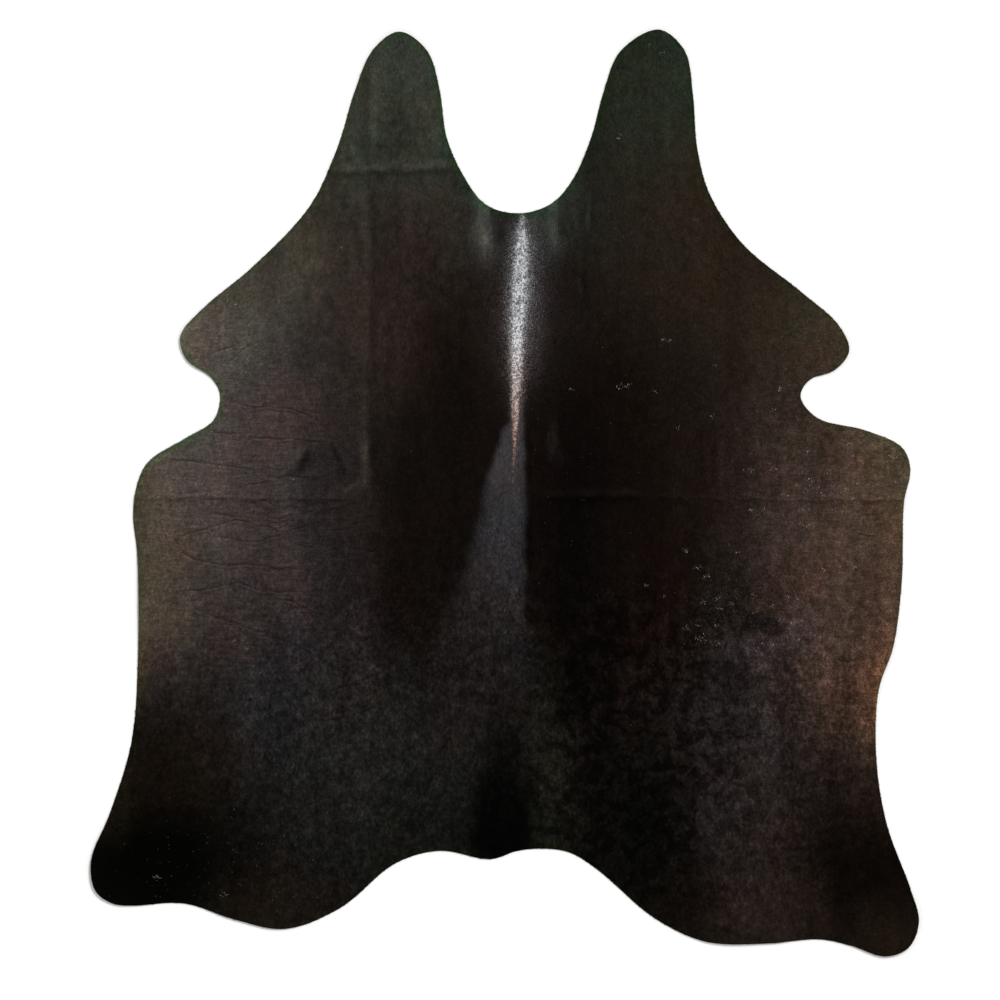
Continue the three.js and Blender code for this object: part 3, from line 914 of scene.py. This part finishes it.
# rows of closer points along each wrinkle and fold
def closeRows(setup):
    rows = [(line, halfWidth * setup["wrinkleRows"], setup["wrinklePitch"])
            for line, halfWidth, strength in wrinkles]
    rows += [(line, halfWidth * setup["foldRows"], setup["foldPitch"])
             for name, line, halfWidth, *others in foldCreases["lines"]]
    made = []
    for line, apart, pitch in rows:
        for start, end in zip(line[:-1], line[1:]):
            start, end = np.array(start), np.array(end)
            steps = max(2, round(np.linalg.norm(end - start) / pitch))
            way = (end - start) / np.linalg.norm(end - start)
            side = np.array([-way[1], way[0]])
            for t in (np.arange(steps) + 0.5) / steps:
                for offset in (-2, -1, 0, 1, 2):
                    made.append(start + t * (end - start) + side * offset * apart)
    made = np.array(made)
    return made[insideBy.at(made) > setup["rowsInset"]]


# triangles that fill the loop, through the points inside it
def fillLoop(loop, inner):
    count = len(loop)
    sites = [Vector(p) for p in np.concatenate([loop, inner])]
    sides = [(i, (i + 1) % count) for i in range(count)]
    made = geometry.delaunay_2d_cdt(sites, sides, [], 1, 1e-6)
    return np.array([tuple(p) for p in made[0]]), np.array([tuple(f) for f in made[2]])


def outward(loop):
    way = np.roll(loop, -1, 0) - np.roll(loop, 1, 0)
    way /= np.linalg.norm(way, axis=1)[:, None]
    return np.stack([way[:, 1], -way[:, 0]], 1)


# the green tinge along the cut edge: how far in it goes, how strong it is anywhere, and the
# spots where it is stronger, each with its reach
edgeTinge = {
    "reach": 0.020,
    "anywhere": 0.30,
    "spots": [((0.04, 0.80), 0.36), ((0.02, -0.88), 0.36), ((-0.80, 0.20), 0.20)],
}


def edgeAt(points):
    anywhere = edgeTinge["anywhere"]
    nearness = [np.exp(-((points[:, :2] - spot) ** 2).sum(1) / reach ** 2)
                for spot, reach in edgeTinge["spots"]]
    share = anywhere + (1 - anywhere) * np.max(nearness, 0)
    return share * smooth(1 - insideBy.at(points) / edgeTinge["reach"])


def makeSkin(setup):
    normals = outward(hideEdge)
    inset = hideEdge - normals * setup["edgeInset"]
    count = len(inset)
    close = closeRows(setup)
    even = lattice(setup["pitch"], setup["pitch"] * setup["edgeGap"])
    under = lattice(setup["underPitch"], setup["underPitch"] * setup["underGap"])
    keep = KDTree(len(close))
    for i, (x, y) in enumerate(close):
        keep.insert((x, y, 0.0), i)
    keep.balance()
    far = np.array([keep.find((x, y, 0.0))[2] for x, y in even]) > setup["pitch"] * setup["rowGap"]
    upper, upperFaces = fillLoop(inset, np.concatenate([even[far], close]))
    lower, lowerFaces = fillLoop(inset, under)
    lowerHeight = np.maximum(floorLift.at(lower), 0.0)
    points = [np.column_stack([upper, skinAt(upper)]), np.column_stack([lower, lowerHeight])]
    flesh = [np.zeros(len(upper)), np.ones(len(lower))]
    low, high = np.maximum(floorLift.at(inset), 0.0), skinAt(inset)
    for out, share, bare in setup["edgeRings"]:
        ring = hideEdge + normals * out
        points.append(np.column_stack([ring, low + (high - low) * share]))
        flesh.append(np.full(count, bare))
    faces = [upperFaces, lowerFaces[:, ::-1] + len(upper)]
    # strips from the under face's rim, ring by ring, to the upper face's rim
    rings = len(upper) + len(lower) + np.arange(len(setup["edgeRings"])) * count
    starts = [len(upper), *rings, 0]
    here, then = np.arange(count), (np.arange(count) + 1) % count
    for a, b in zip(starts[:-1], starts[1:]):
        faces.append(np.column_stack([a + here, a + then, b + then]))
        faces.append(np.column_stack([a + here, b + then, b + here]))
    points, faces, flesh = np.concatenate(points), np.concatenate(faces), np.concatenate(flesh)
    values = {
        # tone is painted light and shade beside creases and wrinkles, shine the painted sheen along
        # the back
        "tone": paintedCreaseShading.at(points),
        "shine": shineAt(points),
        "white": streakAt(points) * setup["white"],
        "tan": tanAt(points),
        "edge": edgeAt(points),
        "flesh": flesh,
        "shade": np.full(len(points), setup["shade"]),
    }
    made = makePiece("hideSkin", points, faces, skinMaterial, values, flat=False)
    mapFromAbove(made, under=flesh[faces].mean(1) > 0.4)
    return made


skin = makeSkin(skinSetup)
print("skin made:", len(skin.data.polygons), "triangles")


# which way the hair lies

# place, x and y of it, the way the hair points there, how far that holds; the left side of
# the hide is the mirror of the right one
hairFlow = [
    ("neck", (0.00, 0.62), (0.00, -1.00), 0.22),
    ("neck flap", (0.33, 0.95), (0.10, -1.00), 0.24),
    ("shoulder", (0.48, 0.48), (0.62, -0.78), 0.22),
    ("fore shank", (0.76, 0.36), (1.00, -0.30), 0.16),
    ("withers", (0.00, 0.20), (0.00, -1.00), 0.30),
    ("ribs", (0.45, -0.10), (0.35, -0.94), 0.30),
    ("belly", (0.84, -0.10), (0.62, -0.78), 0.26),
    ("flank", (0.80, -0.50), (0.30, -0.95), 0.24),
    ("thigh", (0.62, -0.75), (0.38, -0.92), 0.24),
    ("hind shank", (0.90, -0.98), (0.62, -0.78), 0.18),
    ("rump", (0.20, -0.60), (0.10, -1.00), 0.26),
    ("tail root", (0.00, -0.80), (0.00, -1.00), 0.18),
]


def turned(ways, angles):
    cos, sin = np.cos(angles), np.sin(angles)
    return np.stack([ways[:, 0] * cos - ways[:, 1] * sin, ways[:, 0] * sin + ways[:, 1] * cos], 1)


def flowAt(points):
    ways = np.zeros((len(points), 2))
    for name, centre, way, reach in hairFlow:
        for side in (1, -1):
            away = points[:, :2] - np.array(centre) * (side, 1)
            weight = np.exp(-(away ** 2).sum(1) / reach ** 2) + 1e-6
            ways += weight[:, None] * np.array(way) * (side, 1)
    ways /= np.linalg.norm(ways, axis=1)[:, None]
    x, y = points[:, 0], points[:, 1]
    swirl = 0.10 * np.sin(x * 23 + 2.0 * np.sin(y * 17)) + 0.07 * np.sin(y * 41 + 1.5 * np.sin(x * 29))
    return turned(ways, swirl)


# locks of hair

lockShape = {
    "sunk": 0.0003,  # how deep its root lies in the skin
    "crest": 0.15,  # where it is thickest, as a share of its length
    "shorten": 0.6,  # to this share, up to three times over, where it would pass the cut edge
    "groove": 0.3,  # it ends at a wrinkle as deep as this
    "endShort": 0.8,
    "lowestTip": 0.0006,
    "shades": (0.85, 0.85, 1.0, 1.1),  # of its two root corners, its crest and its tip
}


# each lock is closed, three-sided and tapered to a point, with four triangles; own holds what
# the locks' material reads, one number a lock
def makeLocks(name, material, roots, ways, looks, dice, shade, own=None, droop=None):
    count = len(roots)
    length = dice.uniform(*looks["length"], count)
    width = dice.uniform(*looks["width"], count)
    for _ in range(3):
        past = insideBy.at(roots + ways * length[:, None]) < -looks["overhang"]
        length[past] *= lockShape["shorten"]
    reach = length.copy()
    for share in (1.0, 0.75, 0.5, 0.25):
        groove = creaseGroove.at(roots + ways * (share * length)[:, None])
        reach = np.where(groove > lockShape["groove"], lockShape["endShort"] * share * length, reach)
    side = np.stack([-ways[:, 1], ways[:, 0]], 1) * (width / 2)[:, None]
    tips = roots + ways * reach[:, None]
    crest = roots + ways * (lockShape["crest"] * reach)[:, None]
    lying, tipLying = skinAt(roots), skinAt(tips)
    if droop is not None:
        hanging = np.maximum(tipLying - droop, lockShape["lowestTip"])
        tipLying = np.where(insideBy.at(tips) < 0, hanging, tipLying)
    rise = dice.uniform(*looks["rise"], count) * reach / length
    points = np.stack([
        np.column_stack([roots + side, lying - lockShape["sunk"]]),
        np.column_stack([roots - side, lying - lockShape["sunk"]]),
        np.column_stack([crest, lying + looks["thickness"]]),
        np.column_stack([tips, tipLying + rise]),
    ], 1).reshape(-1, 3)
    corners = np.array([(0, 2, 3), (2, 1, 3), (1, 0, 3), (0, 1, 2)])
    faces = (np.arange(count)[:, None, None] * 4 + corners).reshape(-1, 3)
    values = {
        # painted light and shade beside creases and in wrinkles
        "tone": paintedCreaseShading.at(points),
        "edge": np.repeat(edgeAt(roots), 4),
        "shade": (shade[:, None] * np.array(lockShape["shades"])).ravel(),
    }
    values |= {label: np.repeat(numbers, 4) for label, numbers in (own or {}).items()}
    piece = makePiece(name, points, faces, material, values)
    mapFromAbove(piece)
    print(name, "made:", len(faces), "triangles")
    return piece


# the coat

coatSetup = {
    "pitch": 0.0050,
    "jitter": 0.0022,
    "inset": (0.001, 0.0015),  # of the roots from the cut edge, before and after the jitter
    "stray": math.radians(20),  # how far a lock lies off the flow
    "shade": 0.20,  # how unlike each other the locks are
    "unevenShine": 0.25,
    "unevenWhite": 0.6,
    "warmTan": 0.6,
    "looks": {"length": (0.006, 0.011), "width": (0.0014, 0.0024), "thickness": 0.0005,
              "rise": (0.0005, 0.0015), "overhang": 0.001},
    # piece, from and to along Y
    "regions": [("coatNeck", 0.16, 1.2), ("coatBarrel", -0.40, 0.16), ("coatHind", -1.2, -0.40)],
    "seed": 3,
}


# the shares again, made unlike each other and kept under 1
def scattered(shares, spread, dice):
    return np.minimum(shares * np.exp(dice.normal(0, spread, len(shares))), 1)


def makeCoat(setup):
    dice = np.random.default_rng(setup["seed"])
    before, after = setup["inset"]
    roots = lattice(setup["pitch"], before)
    roots = roots + dice.uniform(-1, 1, roots.shape) * setup["jitter"]
    roots = roots[insideBy.at(roots) > after]
    pieces = []
    for name, low, high in setup["regions"]:
        chosen = roots[(roots[:, 1] >= low) & (roots[:, 1] < high)]
        count = len(chosen)
        ways = turned(flowAt(chosen), dice.normal(0, setup["stray"], count))
        shade = np.exp(dice.normal(0, setup["shade"], count))
        own = {
            # painted sheen along the back
            "shine": scattered(shineAt(chosen), setup["unevenShine"], dice),
            "white": scattered(streakAt(chosen), setup["unevenWhite"], dice),
            "tan": np.maximum(tanAt(chosen), setup["warmTan"] * tanAt(chosen, "warm")),
        }
        pieces.append(makeLocks(name, coatMaterial, chosen, ways, setup["looks"], dice, shade, own))
    return pieces


coat = makeCoat(coatSetup)


# short hair that reaches just past the cut edge

fringeSetup = {
    "perStep": 11,  # hairs to each step of the cut edge
    "inset": (0.001, 0.008),  # of their roots
    "outTurn": 0.9,  # how far they turn outward from the flow
    "stray": 0.15,
    "shade": (-0.1, 0.2),  # the middle of their shades and the spread, both as logarithms
    "droop": 0.0016,  # how far a tip hangs down where it is past the edge
    "looks": {"length": (0.006, 0.012), "width": (0.0010, 0.0020), "thickness": 0.0004,
              "rise": (0.0002, 0.0010), "overhang": 0.003},
    "seed": 5,
}


def makeFringe(setup):
    dice = np.random.default_rng(setup["seed"])
    count = len(hideEdge) * setup["perStep"]
    which = np.repeat(np.arange(len(hideEdge)), setup["perStep"])
    normals = outward(hideEdge)[which]
    slide = dice.uniform(0, 1, count)[:, None]
    spots = hideEdge[which] * (1 - slide) + np.roll(hideEdge, -1, 0)[which] * slide
    roots = spots - normals * dice.uniform(*setup["inset"], count)[:, None]
    ways = flowAt(roots) + normals * setup["outTurn"] + dice.normal(0, setup["stray"], (count, 2))
    ways /= np.linalg.norm(ways, axis=1)[:, None]
    shade = np.exp(dice.normal(*setup["shade"], count))
    own = {"white": streakAt(roots), "tan": tanAt(roots)}
    looks, droop = setup["looks"], setup["droop"]
    return makeLocks("edgeHair", coatMaterial, roots, ways, looks, dice, shade, own, droop)


fringe = makeFringe(fringeSetup)


# the hairs of the white streak, and single white hairs

# what both are made of
whiteHair = {
    "white": (216, 218, 221),
    "tan": (170, 124, 98),
    "gloss": 0.2,
    "grain": 500.0,  # how many to the metre
    "shade": (0.8, 0.4),  # without the grain, and how much it adds
    "rough": (0.5, 0.2),
    "bump": {"Strength": 0.4, "Distance": 0.0005},
}

# single white hairs
fleckSetup = {
    # where, and how far their hairs are strewn in millimetres
    "places": [
        (0.501, -0.249, 3), (0.472, -0.258, 3), (0.534, -0.261, 3), (0.510, -0.275, 3),
        (0.595, -0.280, 2), (0.631, -0.266, 3), (0.693, -0.249, 2), (0.465, -0.344, 5),
        (0.505, -0.356, 4), (0.501, -0.313, 3), (0.432, -0.320, 3), (0.456, -0.313, 2),
        (0.704, -0.301, 2), (0.678, -0.306, 2), (0.728, -0.296, 2), (0.633, -0.360, 3),
        (0.595, -0.370, 3), (0.614, -0.356, 2), (0.678, -0.334, 2), (0.456, -0.176, 4),
        (0.477, -0.197, 3), (0.377, -0.244, 2), (0.332, -0.218, 2), (0.425, -0.135, 3),
        (0.548, -0.140, 2), (0.584, -0.040, 2), (0.636, 0.057, 7), (0.650, 0.249, 3),
        (0.636, 0.197, 3), (0.491, 0.182, 2), (0.408, 0.156, 2), (0.356, 0.242, 2),
        (0.721, 0.097, 3), (0.721, 0.026, 4), (0.764, 0.057, 3), (0.775, 0.000, 3),
        (0.828, 0.026, 4), (0.918, 0.085, 3), (0.927, 0.024, 3), (0.804, 0.095, 3),
        (0.821, 0.088, 3), (0.764, -0.211, 2), (0.825, -0.176, 2), (0.825, -0.112, 2),
        (0.275, 0.848, 4), (0.347, 1.064, 2), (0.373, 1.043, 2), (0.453, 0.647, 2),
        (0.285, 0.256, 6), (0.157, 0.246, 2), (-0.504, 0.033, 2), (-0.734, -0.076, 2),
        (-0.803, -0.097, 2), (-0.386, 0.583, 2), (-0.604, 0.400, 2), (0.375, 0.365, 2),
        (0.387, 0.362, 2), (0.498, 0.303, 2), (-0.642, -0.349, 2), (-0.616, -0.365, 2),
        (-0.661, -0.951, 3), (-0.824, -0.908, 3), (-0.656, 0.457, 2), (-0.637, 0.450, 2),
        (-0.623, 0.443, 2), (0.712, 0.004, 2), (0.735, 0.012, 3), (0.752, -0.002, 3),
        (0.790, -0.004, 2), (0.690, 0.020, 2), (0.581, 0.054, 3), (0.817, 0.118, 3),
        (0.757, 0.050, 3), (0.716, 0.032, 3), (0.657, -0.003, 3), (0.802, 0.007, 2),
        (0.827, -0.011, 2), (0.887, -0.011, 2), (0.612, -0.038, 2), (0.700, -0.040, 3),
        (0.707, -0.073, 3), (0.772, -0.038, 2), (0.817, -0.043, 2), (0.757, -0.179, 3),
        (0.586, -0.239, 2), (0.652, -0.303, 3), (0.671, -0.244, 2), (0.697, -0.353, 3),
        (0.732, -0.339, 2),
    ],
    "hairsPerMillimetre": 5,
    "turn": 0.4,  # the most that a fleck is turned
    "stretch": (1.6, 0.9),
    "bright": 0.28,  # share of the hairs that catch the light
    "shades": (0.72, 0.16),  # of a hair that does and of one that doesn't
    "uneven": (0.4, 1.3),
    "warm": 0.2,
    "strewnShade": (0.2, 0.45),
    "scatter": 0.6,  # how far a strewn hair mostly is from the centre, as a share of the spread
    "inset": 0.01,
    # centre, how far they are strewn, how many
    "strewn": [((0.60, -0.27), (0.13, 0.12), 360), ((0.50, -0.26), (0.04, 0.05), 60),
               ((0.62, -0.36), (0.10, 0.03), 120), ((0.71, -0.30), (0.05, 0.04), 60),
               ((0.70, 0.00), (0.13, 0.14), 240), ((0.84, 0.04), (0.08, 0.10), 90),
               ((-0.62, 0.42), (0.12, 0.08), 120), ((0.20, 0.10), (0.40, 0.60), 120),
               ((-0.62, -0.86), (0.26, 0.14), 160)],
    "stray": math.radians(50),
    "looks": {"length": (0.0025, 0.0050), "width": (0.0007, 0.0013), "thickness": 0.0004,
              "rise": (0.0010, 0.0022), "overhang": 0.0},
    "seed": 9,
}


def makeWhiteMaterial(setup):
    material, surface, wire = newMaterial("white hair")
    place = wire.node("TexCoord", out="Object")
    white = wire.plain(paint(*setup["white"]))
    tan, shade = (wire.node("Attribute", {"attribute_name": label}, out="Fac")
                  for label in ("tan", "shade"))
    grain = noise(wire, place, setup["grain"], 2.0)
    bump = wire.node("Bump", None, {**setup["bump"], "Height": grain})
    dull, more = setup["shade"]
    colour = white.blend(paint(*setup["tan"]), tan).shaded(shade * (dull + grain * more))
    smoothest, more = setup["rough"]
    wire.feed(surface, {"Base Color": colour, "Roughness": smoothest + grain * more, "Normal": bump,
                        "Specular IOR Level": setup["gloss"]})
    return material


whiteMaterial = makeWhiteMaterial(whiteHair)


# clumps of white hair that are as bright as each other
clumps = {
    "kinds": 4096,
    "evenness": 0.6,  # under 1, more clumps are quite dull or quite bright than in between
    "stride": (7919, 5003),  # two primes, so that the kinds don't line up
}


# a number from 0 to 1 for each point, the same for all the points in one small cell
def clumpAt(points, size, dice):
    table = dice.beta(clumps["evenness"], clumps["evenness"], clumps["kinds"])
    cells = np.floor(points / size).astype(int)
    return table[(cells @ clumps["stride"]) % len(table)]


def makeStreak(setup):
    dice = np.random.default_rng(setup["seed"])
    along = [row[0] for row in setup["stations"]]
    tries = setup["tries"] * setup["hairs"]
    spots = np.stack([dice.uniform(-setup["widest"], setup["widest"], tries),
                      dice.uniform(along[-1], along[0], tries)], 1)
    spots[:, 0] += fromStations(spots, setup["stations"])[0]
    share = streakAt(spots)
    chosen = np.flatnonzero(dice.uniform(setup["sparse"], 1, tries) < share)[:setup["hairs"]]
    roots, share = spots[chosen], share[chosen]
    ways = turned(flowAt(roots), dice.normal(0, setup["stray"], len(roots)))
    spot = roots + dice.normal(0, setup["clump"] / 4, roots.shape)
    dull, more = setup["shade"]
    shade = share ** setup["fall"] * (dull + more * clumpAt(spot, setup["clump"], dice))
    shade = shade * np.exp(dice.normal(0, setup["uneven"], len(roots)))
    shade = np.minimum(shade * (1 + setup["warmer"] * tanAt(roots, "warm")), setup["brightest"])
    # a clump is either white or tan, and more of them are tan farther down the back
    tan = clumpAt(spot, setup["clump"], dice) < tanAt(roots)
    inCore, beside = setup["warmShare"]
    warm = tanAt(roots, "warm") * (inCore + beside * (1 - share))
    own = {"tan": np.where(tan, dice.uniform(*setup["tanShare"], len(roots)), warm)}
    return makeLocks("streakHair", whiteMaterial, roots, ways, setup["looks"], dice, shade, own)


def makeFlecks(setup):
    dice = np.random.default_rng(setup["seed"])
    roots, shades = [], []
    for x, y, spread in setup["places"]:
        count = setup["hairsPerMillimetre"] * spread
        turn = dice.uniform(-setup["turn"], setup["turn"])
        stroke = np.array([[math.cos(turn), math.sin(turn)], [-math.sin(turn), math.cos(turn)]])
        roots.append((x, y) + dice.normal(0, spread / 1000, (count, 2)) * setup["stretch"] @ stroke)
        shade = np.where(dice.uniform(0, 1, count) < setup["bright"], *setup["shades"])
        shades.append(shade * dice.uniform(*setup["uneven"], count))
    for centre, spread, count in setup["strewn"]:
        roots.append(centre + dice.normal(0, setup["scatter"], (count, 2)) * spread)
        shades.append(dice.uniform(*setup["strewnShade"], count) ** 2)
    roots, shades = np.concatenate(roots), np.concatenate(shades)
    inside = insideBy.at(roots) > setup["inset"]
    roots, shades = roots[inside], shades[inside]
    ways = turned(flowAt(roots), dice.normal(0, setup["stray"], len(roots)))
    own = {"tan": np.full(len(roots), setup["warm"])}
    return makeLocks("whiteFlecks", whiteMaterial, roots, ways, setup["looks"], dice, shades, own)


streak = makeStreak(streakSetup)
flecks = makeFlecks(fleckSetup)

hairPieces = [*coat, fringe, streak, flecks]
for piece in [skin, *hairPieces]:
    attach(piece, "root")
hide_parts("hide")

# floor and light

studio = {
    "floor": (244, 244, 244),
    "floorSize": 30.0,
    "floorGap": 0.0004,  # under the hide, so that their faces don't coincide
    "zenith": 0.2,  # how bright the sky is straight above
    "horizon": 1.6,
    "sunFrom": (0.55, 0.62, 0.80),
    "sunStrength": 2.25,
    "sunSize": math.radians(18),
}


def makeFloor(setup):
    half = setup["floorSize"] / 2
    corners = [(-half, -half, 0), (half, -half, 0), (half, half, 0), (-half, half, 0)]
    mesh = bpy.data.meshes.new("floor")
    mesh.from_pydata(corners, [], [(0, 1, 2, 3)])
    floor = bpy.data.objects.new("floor", mesh)
    floor.location.z = -setup["floorGap"]
    bpy.context.scene.collection.objects.link(floor)
    material, surface, wire = newMaterial("pale floor")
    wire.feed(surface, {"Base Color": paint(*setup["floor"]), "Roughness": 0.9,
                        "Specular IOR Level": 0.0})
    mesh.materials.append(material)


# a sky that is darker overhead, as under a black ceiling between bright walls, and a soft sun
def makeLights(setup):
    world = bpy.data.worlds.new("studio")
    world.use_nodes = True
    wire = Wire(world.node_tree)
    way = wire.node("TexCoord", out="Generated")
    up = wire.node("SeparateXYZ", None, {0: way}, out="Z")
    light = setup["horizon"] + up.maths("MAXIMUM", up, 0.0) * (setup["zenith"] - setup["horizon"])
    sky = world.node_tree.nodes["Background"]
    wire.feed(sky, {"Color": (1, 1, 1, 1), "Strength": light})
    bpy.context.scene.world = world
    data = bpy.data.lights.new("sun", "SUN")
    data.energy = setup["sunStrength"]
    data.angle = setup["sunSize"]
    sun = bpy.data.objects.new("sun", data)
    sun.rotation_euler = Vector(setup["sunFrom"]).to_track_quat("Z", "Y").to_euler()
    bpy.context.scene.collection.objects.link(sun)


makeFloor(studio)
makeLights(studio)
bpy.context.scene.view_settings.view_transform = "Standard"
print("studio made")
